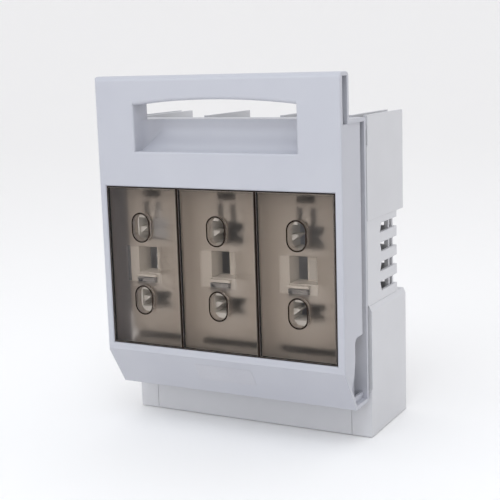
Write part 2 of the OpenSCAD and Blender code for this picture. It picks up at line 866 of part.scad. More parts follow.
module support_footprint(inset) {
    half = support_w / 2 - inset;
    wide = support_wide / 2 - inset;
    low = support_low + inset;
    translate([-half, low]) square([2 * half, strip_end - inset - low]);
    translate([-wide, low]) square([2 * wide, support_shoulder - inset - low]);
}

// Hollow block that carries a contact strip, open to the base's back
module support(i) {
    x = pole_x(i);
    t = base_t;
    front_back = platform_y + support_h;
    pocket_d = (bolt_af + 2 * screw_fit) / cos(30);
    difference() {
        translate([x, 0, 0]) along_y(platform_y, back_y - t) support_footprint(0);
        translate([x, 0, 0]) along_y(front_back, back_y) support_footprint(t);
        rod_y(x, bolt_at, platform_y - 1, front_back + 1, bolt_d + 1);
        rod_y(x, bolt_at, platform_y + washer_t, front_back + 1, pocket_d, $fn = 6);
        for (s = [-1, 1], u = [-1, 1])
            rod_y(
                x + u * strip_screw_x, jaw_offset + s * strip_screw_z,
                platform_y - 1, front_back + 1, strip_screw_d + screw_fit
            );
    }
}

// The back wall is open behind each support
module support_window() {
    translate([pole_x($pole), 0, 0]) along_y(back_y - base_t - 1, back_y + 1) support_footprint(base_t);
}

// One slot through a side and round the corner, with a slanting front end
module vent_slot(z, lean) {
    y0 = waist_back - vent_d;
    x0 = base_w / 2 - vent_end;
    translate([(x0 + low_half + 1) / 2, 0, 0]) along_x(low_half + 1 - x0) polygon([
        [y0 + (lean ? vent_slant : 0), z + vent_h], [y0 + (lean ? 0 : vent_slant), z],
        [waist_back + 1, z], [waist_back + 1, z + vent_h]
    ]);
}

module vent_slots() {
    for (k = [0 : vents - 1]) vent_slot(vent_low + k * vent_pitch, k % 2 == 1);
}

// Ribs inside the outer walls, which show through the vent slots
module vent_ribs() {
    x1 = base_w / 2 - base_t;
    for (y = rib_y)
        block(
            x1 - rib_in, x1 + 0.5, waist_back - y, waist_back - y + rib_t,
            waist_low - 1, waist_top + 1
        );
}

module base_housing() {
    color(base_grey) placed() difference() {
        union() {
            both_sides() difference() {
                outer_wall();
                vent_slots();
                waist_waste();
            }
            both_sides() pillar();
            for (i = [1 : poles - 1]) partition(pole_x(i) - pitch / 2);
            difference() {
                back_walls();
                both_sides() vent_slots();
                both_sides() waist_waste();
            }
            both_sides() vent_ribs();
            for (x = [-1, 1], z = [-1, 1]) rod_y(
                x * mount_x / 2, mount_mid + z * mount_z / 2, back_y - 2 * base_t, back_y - 1,
                mount_d + 2 * base_t
            );
        }
        all_terminals() support_window();
        for (x = [-1, 1], z = [-1, 1])
            rod_y(x * mount_x / 2, mount_mid + z * mount_z / 2, back_y - 9, back_y + 1, mount_d);
        both_sides() rod_x(inner_wall_x - 1, inner_wall_x + base_t + 1, hinge_y, hinge_z, pin_d);
    }
}

module terminal_cover(z0, z1) {
    half = inner_wall_x - seat_fit;
    block(-half, half, base_y, base_y + base_t, z0, z1);
}

module upper_terminal_cover() {
    top = base_top - apron_drop;
    color(base_grey) placed() terminal_cover(top - upper_apron_h, top);
}

module lower_terminal_cover() {
    color(base_grey) placed() terminal_cover(0, lower_apron_h);
}

// Steel pin, pressed into its lug and standing out inwards through the cover's hook
module hinge_pin(side) {
    x1 = inner_wall_x + base_t;
    color(steel) placed() mirror([side < 0 ? 1 : 0, 0, 0])
        rod_x(inner_wall_x - lug_gap - hook_t - 1, x1, hinge_y, hinge_z, pin_d);
}

// Arc chamber: two cheeks beside the jaw, joined over it
module arc_chamber(i) {
    x = pole_x(i);
    y0 = jaw_tip_y - 1;
    color(arc_brown) placed() upper() difference() {
        union() {
            for (s = [-1, 1])
                translate([x + s * (cheek_x + cheek_t / 2), 0, 0])
                    block(-cheek_t / 2, cheek_t / 2, y0, platform_y, chamber_low, chamber_top);
            block(
                x - cheek_x - 1, x + cheek_x + 1, y0, strip_y - seat_fit,
                chamber_top - chamber_t, chamber_top
            );
        }
        for (s = [0, 1], z = plate_rows)
            translate([x, 0, jaw_offset + z]) mirror([s, 0, 0]) arc_plate(plate_play);
    }
}

// One plate at a jaw's right, sunk into the cheek, or its slot when grown by the play
module arc_plate(play) {
    x1 = cheek_x + plate_sink;
    half = plate_thick / 2 + play;
    block(x1 - plate_wide - play, x1 + play, jaw_tip_y + 2 - play, strip_y - 4 + play, -half, half);
}

module arc_plates() {
    color(steel) placed() upper() for (i = [0 : poles - 1], s = [0, 1], z = plate_rows)
        translate([pole_x(i), 0, jaw_offset + z]) mirror([s, 0, 0]) arc_plate(0);
}

// Half a jaw from above: a finger with a flared tip, and half its back
module finger_outline() {
    gap = blade_t / 2 + screw_fit;
    out = blade_t / 2 + finger_t;
    back = strip_y - 6;
    polygon([
        [0, back - finger_t], [gap, back - finger_t], [gap, jaw_tip_y + 8],
        [gap + flare, jaw_tip_y], [out + flare, jaw_tip_y + 1.2],
        [out, jaw_tip_y + 10], [out, back], [0, back]
    ]);
}

// Contact: a copper strip with a terminal end, and a jaw whose fingers grip a knife blade
module contact(i) {
    x = pole_x(i);
    half_jaw = blade_t / 2 + finger_t;
    foot = 5;
    difference() {
        union() {
            block(
                x - strip_w / 2, x + strip_w / 2, strip_y, platform_y,
                jaw_offset - jaw_l / 2 - 3, strip_end
            );
            translate([x, 0, jaw_offset - jaw_l / 2]) linear_extrude(jaw_l) union() {
                finger_outline();
                mirror([1, 0]) finger_outline();
            }
            for (z = [-jaw_l / 2, jaw_l / 2 - foot])
                block(
                    x - half_jaw, x + half_jaw, strip_y - 6.5, strip_y + 1,
                    jaw_offset + z, jaw_offset + z + foot
                );
        }
        rod_y(x, bolt_at, strip_y - 1, platform_y + 1, bolt_d + 1);
        for (s = [-1, 1], u = [-1, 1])
            rod_y(
                x + u * strip_screw_x, jaw_offset + s * strip_screw_z,
                strip_y - 1, platform_y + 1, strip_screw_d + seat_fit
            );
    }
}

// Sprung strap that hugs the jaw's fingers from behind
module contact_spring(i) {
    inner = blade_t / 2 + finger_t;
    t = 1.2;
    half_l = 6;
    front = jaw_tip_y + 12;
    back = strip_y - 4.6;
    translate([pole_x(i), 0, jaw_offset - half_l]) linear_extrude(2 * half_l) difference() {
        translate([-inner - t, front]) square([2 * (inner + t), back - front]);
        translate([-inner, front - 1]) square([2 * inner, back - t - front + 1]);
    }
}

// Screws that hold each contact strip on its support
module contact_screw_set(i) {
    for (s = [-1, 1], u = [-1, 1])
        translate([pole_x(i) + u * strip_screw_x, 0, jaw_offset + s * strip_screw_z]) union() {
            rod_y(0, 0, strip_y - 2.4, strip_y, strip_screw_head);
            rod_y(0, 0, strip_y - 1, platform_y + 6, strip_screw_d);
        }
}

module bolt(i) {
    x = pole_x(i);
    seat = strip_y - washer_t;
    rod_y(x, bolt_at, seat - bolt_head_h, seat, bolt_af / cos(30), $fn = 6);
    rod_y(x, bolt_at, seat - 1, platform_y + washer_t + nut_h + 2, bolt_d);
}

module washer(i) {
    difference() {
        rod_y(pole_x(i), bolt_at, strip_y - washer_t, strip_y, 2 * bolt_d);
        rod_y(pole_x(i), bolt_at, strip_y - washer_t - 1, strip_y + 1, bolt_d + seat_fit);
    }
}

module nut(i) {
    y0 = platform_y + washer_t;
    difference() {
        rod_y(pole_x(i), bolt_at, y0, y0 + nut_h, bolt_af / cos(30), $fn = 6);
        rod_y(pole_x(i), bolt_at, y0 - 1, y0 + nut_h + 1, bolt_d + screw_fit);
    }
}

front_cover();
end_panel(-1);  // left_end_panel
end_panel(1);  // right_end_panel
for (i = [0 : poles - 1])
    window(i);
fuse_carrier();
for (i = [0 : poles - 1])
    lug_clip(i);
carrier_screws();
base_housing();
upper_terminal_cover();
lower_terminal_cover();
hinge_pin(-1);  // left_hinge_pin
hinge_pin(1);  // right_hinge_pin
for (i = [0 : poles - 1])
    arc_chamber(i);
arc_plates();
for (i = [0 : poles - 1]) {
    color(base_grey) placed() upper() support(i);
    color(base_grey) placed() lower() support(i);
    color(silver) placed() upper() contact(i);
    color(silver) placed() lower() contact(i);
    color(steel) placed() upper() contact_spring(i);
    color(steel) placed() lower() contact_spring(i);
}
color(steel) placed() all_terminals() contact_screw_set($pole);  // contact_screws
color(steel) placed() all_terminals() bolt($pole);  // terminal_bolts
color(steel) placed() all_terminals() washer($pole);  // terminal_washers
color(steel) placed() all_terminals() nut($pole);  // terminal_nuts
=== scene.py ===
"""Dresses a three-pole fuse switch disconnector: light grey moulded cover and base, smoked
windows with oval test ports, plated jaws and steel parts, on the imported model's own frame."""
import math

import bmesh
import bpy
from mathutils import Matrix, Vector


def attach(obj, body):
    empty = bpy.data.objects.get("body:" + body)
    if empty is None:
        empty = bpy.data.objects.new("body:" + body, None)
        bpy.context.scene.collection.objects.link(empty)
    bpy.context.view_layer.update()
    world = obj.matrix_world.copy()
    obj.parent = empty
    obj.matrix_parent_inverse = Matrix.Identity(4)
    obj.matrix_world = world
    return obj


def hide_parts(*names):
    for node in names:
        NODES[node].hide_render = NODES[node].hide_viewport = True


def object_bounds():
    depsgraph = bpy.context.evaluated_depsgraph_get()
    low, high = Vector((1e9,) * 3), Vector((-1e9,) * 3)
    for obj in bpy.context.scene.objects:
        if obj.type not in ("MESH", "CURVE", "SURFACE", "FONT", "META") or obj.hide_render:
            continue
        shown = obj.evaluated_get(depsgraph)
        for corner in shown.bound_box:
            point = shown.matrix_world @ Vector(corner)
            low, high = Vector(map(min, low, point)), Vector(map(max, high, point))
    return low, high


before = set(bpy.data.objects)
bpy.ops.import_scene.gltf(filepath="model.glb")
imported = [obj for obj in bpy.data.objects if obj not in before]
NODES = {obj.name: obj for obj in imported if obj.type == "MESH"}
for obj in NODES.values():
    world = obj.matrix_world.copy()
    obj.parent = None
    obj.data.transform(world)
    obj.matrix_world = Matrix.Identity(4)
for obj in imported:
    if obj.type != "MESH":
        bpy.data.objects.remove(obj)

MM = 0.001
CAD_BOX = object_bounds()
# Places in millimetres, in the part's own frame: x across the poles, y from front to back, z up
FRONT = round(CAD_BOX[0][1] / MM, 3)
PITCH = 68.0
POLES = (-PITCH, 0.0, PITCH)
FUSE_MID = 135.75
# The three panes together, each pole's two oval ports with their collars, and its polished field
PANES_HALF = 99.2
PANES_LOW, PANES_TOP = 69.0, 197.5
PANE_BACK, COLLAR_BACK = 2.0, 2.6
PORT_RISE, PORT_STRAIGHT, PORT_HALF, COLLAR = 29.25, 3.6, 8.4, 1.2
FIELD_HALF, FIELD_MID, FIELD_RISE = 15.3, 135.4, 14.3
# The contact strips' front face with the screws beside each jaw, and the washers' with the bolts
STRIP_FRONT, JAW_RISE, SCREW_ASIDE, SCREW_STEP = 27.5, 57.0, 10.5, 8.0
WASHER_FRONT, BOLT_RISE = 25.5, 91.0
# The skirt under the windows: where its slope starts, and how far it runs back and down
SKIRT_BACK, SKIRT_LOW, SKIRT_RUN, SKIRT_FALL = 21.0, 30.0, 21.0, 33.5
RECESS_BACK = 32.0


def linear(code):
    """An sRGB hex colour as the linear colour that a shader wants."""
    parts = [int(code[i:i + 2], 16) / 255 for i in (0, 2, 4)]
    return tuple(p / 12.92 if p <= 0.04045 else ((p + 0.055) / 1.055) ** 2.4 for p in parts) + (1.0,)


def add(tree, kind, settings=(), inputs=()):
    """Adds one node. An input is a plain value, a node to link from by its first output, a
    (node, output) pair, or a list of these for a socket that takes several."""
    made = tree.nodes.new(kind)
    for key, value in dict(settings).items():
        setattr(made, key, value)
    for key, value in dict(inputs).items():
        for source in value if isinstance(value, list) else [value]:
            if isinstance(source, bpy.types.Node):
                source = (source, 0)
            if isinstance(source, tuple) and isinstance(source[0], bpy.types.Node):
                tree.links.new(source[0].outputs[source[1]], made.inputs[key])
            else:
                made.inputs[key].default_value = source
    return made


def blank(name):
    """A new material with only its output, and the object coordinates that its patterns read."""
    made = bpy.data.materials.new(name)
    made.use_nodes = True
    tree = made.node_tree
    tree.nodes.clear()
    place = add(tree, "ShaderNodeTexCoord")
    end = add(tree, "ShaderNodeOutputMaterial")
    return made, tree, (place, "Object"), end


def moulded(name, tone, shade, grain_mm, rough, bump, ior=1.53):
    """A moulded plastic: two close tones in slow clouds, the grain of a spark-eroded mould, and edges
    that catch the light, as a mould's edges are never sharp. The grain is drawn a few times coarser
    than the real one, so that it shows."""
    made, tree, place, end = blank(name)
    clouds = add(tree, "ShaderNodeTexNoise", inputs={"Vector": place, "Scale": 14.0, "Detail": 3.0})
    spread = add(tree, "ShaderNodeMapRange", inputs={"Value": clouds, "From Min": 0.35, "From Max": 0.65})
    mix = add(tree, "ShaderNodeMix", {"data_type": "RGBA"},
              {"Factor": spread, "A": linear(tone), "B": linear(shade)})
    grain = add(tree, "ShaderNodeTexNoise",
                inputs={"Vector": place, "Scale": 1 / (grain_mm * MM), "Detail": 2.0})
    wear = add(tree, "ShaderNodeMapRange",
               inputs={"Value": grain, "To Min": rough - 0.05, "To Max": rough + 0.06})
    rounded = add(tree, "ShaderNodeBevel", {"samples": 6}, {"Radius": 0.45 * MM})
    relief = add(tree, "ShaderNodeBump",
                 inputs={"Height": grain, "Strength": bump, "Distance": 0.05 * MM, "Normal": rounded})
    body = add(tree, "ShaderNodeBsdfPrincipled",
               inputs={"Base Color": (mix, "Result"), "Roughness": wear, "Normal": relief, "IOR": ior})
    tree.links.new(body.outputs["BSDF"], end.inputs["Surface"])
    return made


def metal(name, tone, shade, along, rough):
    """A bare or plated metal with faint drawing or rolling lines along one direction."""
    made, tree, place, end = blank(name)
    turn = add(tree, "ShaderNodeMapping", inputs={"Vector": place, "Scale": along})
    lines = add(tree, "ShaderNodeTexNoise", inputs={"Vector": turn, "Scale": 900.0, "Detail": 3.0})
    mix = add(tree, "ShaderNodeMix", {"data_type": "RGBA"},
              {"Factor": lines, "A": linear(tone), "B": linear(shade)})
    dull = add(tree, "ShaderNodeMapRange",
               inputs={"Value": lines, "To Min": rough - 0.08, "To Max": rough + 0.1})
    body = add(tree, "ShaderNodeBsdfPrincipled",
               inputs={"Base Color": (mix, "Result"), "Metallic": 1.0, "Roughness": dull})
    tree.links.new(body.outputs["BSDF"], end.inputs["Surface"])
    return made


# Polycarbonate, injection-moulded and satin: cool light grey with soft, broad highlights.
cover_plastic = moulded("satin_polycarbonate_cover", "B9BAC1", "B5B6BE", 0.45, 0.32, 0.10, 1.585)
# Glass-filled polyamide, moulded: lighter and duller than the cover.
base_plastic = moulded("glass_filled_polyamide_base", "CFCFD2", "CACACD", 0.5, 0.46, 0.16)
# The carrier's plastic is warmer, paler and matt.
carrier_plastic = moulded("matt_polyamide_carrier", "ECE8E2", "E4E0DA", 0.6, 0.55, 0.18)
# Thermoset of the arc chambers: dark brown with a dull skin.
arc_plastic = moulded("brown_thermoset_arc_chamber", "3A241A", "2E1C14", 0.7, 0.6, 0.25)
# Polyester foil of the rating label: smoother than the cover it is stuck on.
label_foil = moulded("white_polyester_label", "BBBBC1", "B7B7BE", 0.3, 0.28, 0.05, 1.6)
# Paper of the small label: nearly white, with a dry surface.
label_paper = moulded("white_paper_label", "E6E4E0", "DEDCD8", 0.25, 0.7, 0.2, 1.45)
# Silver over copper: pale, slightly warm, with fine rolling lines.
silver_plate = metal("silver_plated_copper", "CFC9C0", "B9B2A8", (1, 1, 0.08), 0.3)
# Zinc over steel: cool grey with a faint sheen.
zinc_plate = metal("zinc_plated_steel", "B9BCC0", "A2A5AA", (1, 0.1, 1), 0.34)
# Bare spring steel: darker, drawn along its length.
spring_steel = metal("drawn_spring_steel", "A5A6A8", "8C8D90", (0.1, 1, 1), 0.28)


def smoked_polycarbonate():
    """Windows: polished outside, frosted inside except a polished field in the middle of each pole,
    which makes what lies behind look blurred. The cut edges and the ports' collars are seen through
    far more plastic, so they look dark brown; this dark brown is painted on as a colour, in a fine band
    over the front faces too, and it also stands for painted shade at the collars' lips. The polished
    field has a paler smoke than the rest, a painted brightening of what is seen through it. The IOR is
    below polycarbonate's 1.58, because the photographed panes hardly mirror the room."""
    made, tree, place, end = blank("smoked_polycarbonate")
    spot = add(tree, "ShaderNodeSeparateXYZ", inputs={"Vector": place})
    x, y, z = (spot, "X"), (spot, "Y"), (spot, "Z")
    # Distance across from the middle of the nearest pole, and in from a pane's own edges
    across = add(tree, "ShaderNodeMath", {"operation": "PINGPONG"}, {0: x, 1: PITCH / 2 * MM})
    joint = add(tree, "ShaderNodeMath", {"operation": "SUBTRACT"}, {0: PITCH / 2 * MM, 1: across})
    aside = add(tree, "ShaderNodeMath", {"operation": "ABSOLUTE"}, {0: x})
    outer = add(tree, "ShaderNodeMath", {"operation": "SUBTRACT"}, {0: PANES_HALF * MM, 1: aside})
    above = add(tree, "ShaderNodeMath", {"operation": "SUBTRACT"}, {0: z, 1: PANES_LOW * MM})
    below = add(tree, "ShaderNodeMath", {"operation": "SUBTRACT"}, {0: PANES_TOP * MM, 1: z})
    upright_edge = add(tree, "ShaderNodeMath", {"operation": "MINIMUM"}, {0: joint, 1: outer})
    level_edge = add(tree, "ShaderNodeMath", {"operation": "MINIMUM"}, {0: above, 1: below})
    rim = add(tree, "ShaderNodeMath", {"operation": "MINIMUM"}, {0: upright_edge, 1: level_edge})
    # A painted dark band along every pane edge and joint, on the front faces too, standing for the dark look
    # of the cut edges through the plastic
    painted_edge_band = add(tree, "ShaderNodeMapRange",
                 inputs={"Value": rim, "From Min": 1.0 * MM, "From Max": 1.3 * MM,
                         "To Min": 1.0, "To Max": 0.0})
    # Distance out from the outline of the nearest oval port
    rise = z
    for operation, amount in (("SUBTRACT", FUSE_MID), ("ABSOLUTE", 0.0), ("SUBTRACT", PORT_RISE),
                              ("ABSOLUTE", 0.0), ("SUBTRACT", PORT_STRAIGHT), ("MAXIMUM", 0.0)):
        rise = add(tree, "ShaderNodeMath", {"operation": operation}, {0: rise, 1: amount * MM})
    across_squared = add(tree, "ShaderNodeMath", {"operation": "MULTIPLY"}, {0: across, 1: across})
    rise_squared = add(tree, "ShaderNodeMath", {"operation": "MULTIPLY"}, {0: rise, 1: rise})
    squares = add(tree, "ShaderNodeMath", {"operation": "ADD"}, {0: across_squared, 1: rise_squared})
    reach = add(tree, "ShaderNodeMath", {"operation": "SQRT"}, {0: squares})
    port = add(tree, "ShaderNodeMath", {"operation": "SUBTRACT"}, {0: reach, 1: PORT_HALF * MM})
    # The collars' front ends, looked at down the whole depth of their walls: a painted dark ring that
    # stands for the light lost in the walls and for the shade at the collars' lips
    from_wall = add(tree, "ShaderNodeMath", {"operation": "ADD"}, {0: port, 1: COLLAR / 2 * MM})
    from_wall = add(tree, "ShaderNodeMath", {"operation": "ABSOLUTE"}, {0: from_wall})
    wall = add(tree, "ShaderNodeMapRange",
               inputs={"Value": from_wall, "From Min": COLLAR * 0.5 * MM, "From Max": COLLAR * 0.6 * MM,
                       "To Min": 1.0, "To Max": 0.0})
    shape = add(tree, "ShaderNodeNewGeometry")
    facing = add(tree, "ShaderNodeSeparateXYZ", inputs={"Vector": (shape, "True Normal")})
    squareness = add(tree, "ShaderNodeMath", {"operation": "ABSOLUTE"}, {0: (facing, "Y")})
    sideways = add(tree, "ShaderNodeMath", {"operation": "LESS_THAN"}, {0: squareness, 1: 0.5})
    forward = add(tree, "ShaderNodeMath", {"operation": "SUBTRACT"}, {0: 1.0, 1: sideways})
    shallow = add(tree, "ShaderNodeMath", {"operation": "LESS_THAN"}, {0: y, 1: (FRONT + COLLAR_BACK) * MM})
    ring = add(tree, "ShaderNodeMath", {"operation": "MULTIPLY"}, {0: wall, 1: forward})
    ring = add(tree, "ShaderNodeMath", {"operation": "MULTIPLY"}, {0: ring, 1: shallow})
    painted_dark_edge = add(tree, "ShaderNodeMath", {"operation": "MAXIMUM"}, {0: ring, 1: painted_edge_band})
    # The polished field, and the frost on the rest of the back
    wide = add(tree, "ShaderNodeMath", {"operation": "LESS_THAN"}, {0: across, 1: FIELD_HALF * MM})
    off_field = add(tree, "ShaderNodeMath", {"operation": "SUBTRACT"}, {0: z, 1: FIELD_MID * MM})
    off_field = add(tree, "ShaderNodeMath", {"operation": "ABSOLUTE"}, {0: off_field})
    high = add(tree, "ShaderNodeMath", {"operation": "LESS_THAN"}, {0: off_field, 1: FIELD_RISE * MM})
    field = add(tree, "ShaderNodeMath", {"operation": "MULTIPLY"}, {0: wide, 1: high})
    behind = add(tree, "ShaderNodeMath", {"operation": "GREATER_THAN"}, {0: y, 1: (FRONT + PANE_BACK) * MM})
    dull = add(tree, "ShaderNodeMath", {"operation": "SUBTRACT"}, {0: behind, 1: field})
    frost = add(tree, "ShaderNodeMapRange", inputs={"Value": dull, "To Min": 0.03, "To Max": 0.55})
    # The polished field gets a paler smoke than the rest of the pane: painted light that brightens what is
    # seen through it
    smoke_and_painted_field_light = add(tree, "ShaderNodeMix", {"data_type": "RGBA"},
                {"Factor": field, "A": linear("D9D1CA"), "B": linear("F1EBE5")})
    # Where the painted dark band or ring lies, the colour is dark brown and the pane lets no light through
    tint_with_painted_light = add(tree, "ShaderNodeMix", {"data_type": "RGBA"},
               {"Factor": painted_dark_edge, "A": (smoke_and_painted_field_light, "Result"), "B": linear("20130A")})
    clear = add(tree, "ShaderNodeMath", {"operation": "SUBTRACT"}, {0: 1.0, 1: painted_dark_edge})
    body = add(tree, "ShaderNodeBsdfPrincipled",
               inputs={"Base Color": (tint_with_painted_light, "Result"), "Roughness": frost, "IOR": 1.25,
                       "Transmission Weight": clear})
    tree.links.new(body.outputs["BSDF"], end.inputs["Surface"])
    return made


window_plastic = smoked_polycarbonate()

FINISH = {
    "front_cover": cover_plastic, "fuse_carrier": carrier_plastic, "base_housing": base_plastic,
    "upper_terminal_cover": base_plastic, "lower_terminal_cover": base_plastic,
    "left_hinge_pin": zinc_plate, "right_hinge_pin": zinc_plate, "arc_plates": zinc_plate,
    "contact_screws": zinc_plate, "carrier_screws": zinc_plate, "terminal_bolts": zinc_plate,
    "terminal_washers": zinc_plate, "terminal_nuts": zinc_plate,
}
for pole in "123":
    FINISH["window_" + pole] = window_plastic
    FINISH["lug_clip_" + pole] = spring_steel
    FINISH["arc_chamber_" + pole] = arc_plastic
    for end_name in ("upper", "lower"):
        FINISH[f"{end_name}_support_{pole}"] = base_plastic
        FINISH[f"{end_name}_contact_{pole}"] = silver_plate
        FINISH[f"{end_name}_contact_spring_{pole}"] = spring_steel
for side_name in ("left", "right"):
    FINISH[side_name + "_end_panel"] = cover_plastic
for name, made in FINISH.items():
    NODES[name].data.materials.clear()
    NODES[name].data.materials.append(made)


def fastener_tree():
    """Geometry Nodes for screws and bolts: a chamfered head of so many sides, with or without a cross
    recess, on a threaded shank, put at every point of the mesh that goes in."""
    tree = bpy.data.node_groups.new("threaded_fastener", "GeometryNodeTree")
    tree.interface.new_socket("Geometry", in_out="OUTPUT", socket_type="NodeSocketGeometry")
    tree.interface.new_socket("Geometry", in_out="INPUT", socket_type="NodeSocketGeometry")
    keys = {}
    for label, kind in (("Head Sides", "Int"), ("Head Radius", "Float"), ("Head Height", "Float"),
                        ("Chamfer Radius", "Float"), ("Shank Radius", "Float"), ("Shank Length", "Float"),
                        ("Thread Pitch", "Float"), ("Cross Recess", "Bool"), ("Turn", "Vector"),
                        ("Finish", "Material")):
        socket = tree.interface.new_socket(label, in_out="INPUT", socket_type="NodeSocket" + kind)
        keys[label] = socket.identifier
    start = add(tree, "NodeGroupInput")
    end = add(tree, "NodeGroupOutput")
    # Head: a prism and a cone of 30 degrees. The prism runs past the cone's top and the cone past the
    # prism's foot, so that no faces lie in one plane and the cut is the same each time.
    high, radius, chamfer = (start, "Head Height"), (start, "Head Radius"), (start, "Chamfer Radius")
    tall = add(tree, "ShaderNodeMath", {"operation": "MULTIPLY"}, {0: high, 1: 1.2})
    half_tall = add(tree, "ShaderNodeMath", {"operation": "MULTIPLY"}, {0: high, 1: 0.6})
    lift = add(tree, "ShaderNodeCombineXYZ", inputs={"Z": half_tall})
    prism = add(tree, "GeometryNodeMeshCylinder",
                inputs={"Vertices": (start, "Head Sides"), "Radius": radius, "Depth": tall})
    prism = add(tree, "GeometryNodeTransform", inputs={"Geometry": prism, "Translation": lift})
    flare = add(tree, "ShaderNodeMath", {"operation": "MULTIPLY"}, {0: tall, 1: 1.732})
    cone_foot = add(tree, "ShaderNodeMath", {"operation": "ADD"}, {0: chamfer, 1: flare})
    cone = add(tree, "GeometryNodeMeshCone",
               inputs={"Vertices": 48, "Radius Top": chamfer, "Radius Bottom": cone_foot, "Depth": tall})
    drop = add(tree, "ShaderNodeMath", {"operation": "MULTIPLY"}, {0: high, 1: -0.2})
    drop = add(tree, "ShaderNodeCombineXYZ", inputs={"Z": drop})
    cone = add(tree, "GeometryNodeTransform", inputs={"Geometry": cone, "Translation": drop})
    head = add(tree, "GeometryNodeMeshBoolean", {"operation": "INTERSECT"}, {"Mesh 2": [prism, cone]})
    # Two crossed slots, cut to just under half the head's height
    bars = []
    long_side = add(tree, "ShaderNodeMath", {"operation": "MULTIPLY"}, {0: radius, 1: 1.25})
    short_side = add(tree, "ShaderNodeMath", {"operation": "MULTIPLY"}, {0: radius, 1: 0.3})
    for across, along, rise in ((long_side, short_side, 1.05), (short_side, long_side, 1.07)):
        size = add(tree, "ShaderNodeCombineXYZ", inputs={"X": across, "Y": along, "Z": high})
        lift = add(tree, "ShaderNodeMath", {"operation": "MULTIPLY"}, {0: high, 1: rise})
        lift = add(tree, "ShaderNodeCombineXYZ", inputs={"Z": lift})
        bar = add(tree, "GeometryNodeMeshCube", inputs={"Size": size})
        bars.append(add(tree, "GeometryNodeTransform", inputs={"Geometry": bar, "Translation": lift}))
    cut = add(tree, "GeometryNodeMeshBoolean", {"operation": "DIFFERENCE"}, {"Mesh 1": head, "Mesh 2": bars})
    top = add(tree, "GeometryNodeSwitch", {"input_type": "GEOMETRY"},
              {"Switch": (start, "Cross Recess"), "False": head, "True": cut})
    # Shank: a core with a helical ridge that starts half a pitch from its tip
    length, pitch = (start, "Shank Length"), (start, "Thread Pitch")
    half_pitch = add(tree, "ShaderNodeMath", {"operation": "MULTIPLY"}, {0: pitch, 1: 0.5})
    ridge = add(tree, "ShaderNodeMath", {"operation": "MULTIPLY"}, {0: pitch, 1: 0.45})
    core = add(tree, "ShaderNodeMath", {"operation": "SUBTRACT"}, {0: (start, "Shank Radius"), 1: half_pitch})
    rod = add(tree, "GeometryNodeMeshCylinder", inputs={"Vertices": 24, "Radius": core, "Depth": length})
    sink = add(tree, "ShaderNodeMath", {"operation": "MULTIPLY"}, {0: length, 1: -0.5})
    sink = add(tree, "ShaderNodeCombineXYZ", inputs={"Z": sink})
    rod = add(tree, "GeometryNodeTransform", inputs={"Geometry": rod, "Translation": sink})
    run = add(tree, "ShaderNodeMath", {"operation": "SUBTRACT"}, {0: length, 1: pitch})
    turns = add(tree, "ShaderNodeMath", {"operation": "DIVIDE"}, {0: run, 1: pitch})
    helix = add(tree, "GeometryNodeCurveSpiral",
                inputs={"Resolution": 20, "Rotations": turns, "Start Radius": core, "End Radius": core,
                        "Height": run})
    section = add(tree, "GeometryNodeCurvePrimitiveCircle", inputs={"Resolution": 3, "Radius": ridge})
    thread = add(tree, "GeometryNodeCurveToMesh",
                 inputs={"Curve": helix, "Profile Curve": section, "Fill Caps": True})
    tip = add(tree, "ShaderNodeMath", {"operation": "SUBTRACT"}, {0: half_pitch, 1: length})
    tip = add(tree, "ShaderNodeCombineXYZ", inputs={"Z": tip})
    thread = add(tree, "GeometryNodeTransform", inputs={"Geometry": thread, "Translation": tip})
    # One of them at every point, in its finish
    whole = add(tree, "GeometryNodeJoinGeometry", inputs={"Geometry": [top, rod, thread]})
    turned = add(tree, "GeometryNodeTransform", inputs={"Geometry": whole, "Rotation": (start, "Turn")})
    spread = add(tree, "GeometryNodeInstanceOnPoints",
                 inputs={"Points": (start, "Geometry"), "Instance": turned})
    real = add(tree, "GeometryNodeRealizeInstances", inputs={"Geometry": spread})
    dressed = add(tree, "GeometryNodeSetMaterial", inputs={"Geometry": real, "Material": (start, "Finish")})
    tree.links.new(dressed.outputs["Geometry"], end.inputs["Geometry"])
    return tree, keys


FASTENERS, FASTENER_KEYS = fastener_tree()


def fasteners(name, node, places, sizes):
    """Puts one kind of screw or bolt at its places in the base and lets it stand for its plain CAD node."""
    points = bpy.data.meshes.new(name + "_places")
    points.from_pydata([tuple(v * MM for v in spot) for spot in places], [], [])
    maker = bpy.data.objects.new(name + "_maker", points)
    bpy.context.scene.collection.objects.link(maker)
    step = maker.modifiers.new("fasteners", "NODES")
    step.node_group = FASTENERS
    for label, value in sizes.items():
        step[FASTENER_KEYS[label]] = value
    bpy.context.view_layer.update()
    mesh = bpy.data.meshes.new_from_object(maker.evaluated_get(bpy.context.evaluated_depsgraph_get()))
    mesh.name = name
    piece = bpy.data.objects.new(name, mesh)
    bpy.context.scene.collection.objects.link(piece)
    bpy.data.objects.remove(maker)
    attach(piece, "base")
    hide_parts(node)


HEAD_TO_FRONT = (math.pi / 2, 0.0, 0.0)
# Pan-head screws M4 that hold the contact strips, four round each jaw
fasteners("contact_strip_screws", "contact_screws",
          [(x + side * SCREW_ASIDE, STRIP_FRONT, FUSE_MID + end * (JAW_RISE + row * SCREW_STEP))
           for x in POLES for end in (-1, 1) for side in (-1, 1) for row in (-1, 1)],
          {"Head Sides": 32, "Head Radius": 3.5 * MM, "Head Height": 2.4 * MM, "Chamfer Radius": 2.6 * MM,
           "Shank Radius": 2.0 * MM, "Shank Length": 11.0 * MM, "Thread Pitch": 0.7 * MM,
           "Cross Recess": True, "Turn": HEAD_TO_FRONT, "Finish": zinc_plate})
